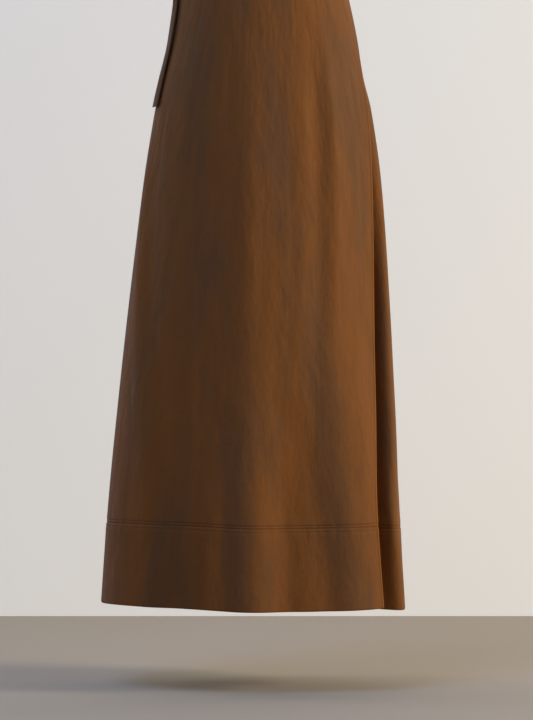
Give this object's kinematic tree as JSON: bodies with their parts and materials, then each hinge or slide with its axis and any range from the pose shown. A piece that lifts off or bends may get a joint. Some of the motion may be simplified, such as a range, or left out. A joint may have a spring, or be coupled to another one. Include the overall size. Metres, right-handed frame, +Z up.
{
  "type": "maxi skirt",
  "caption": "Worn ankle-length wrap skirt: A-line front lapped over an underlap, flared hem band, waistband and a tie knotted at the hip; hollow and open at waist and hem.",
  "frame": {"origin": "middle of the waist, at the waistband's mid-height, where the wearer's waist holds the skirt", "axes": "+Z up along the body, -Y out of the front, +X towards the wearer's left, where the wrap front's free edge runs"},
  "size_m": [0.4664, 0.3851, 0.9772],
  "materials": {
    "skirt_cloth": "fine crepe-like weave, tobacco brown, soft low sheen",
    "band_cloth": "the same cloth, doubled, with topstitched edges",
    "tie_cloth": "the same cloth, folded and edge-stitched into a flat tie"
  },
  "bodies": {
    "root": {"front_overlap": "skirt_cloth", "front_hem_band": "band_cloth", "underlap": "skirt_cloth", "underlap_hem_band": "band_cloth", "back_panel": "skirt_cloth", "back_hem_band": "band_cloth", "waistband": "band_cloth", "tie_strap": "tie_cloth", "tie_knot": "tie_cloth", "tie_tail": "tie_cloth", "tie_short_end": "tie_cloth"}
  },
  "joints": []
}
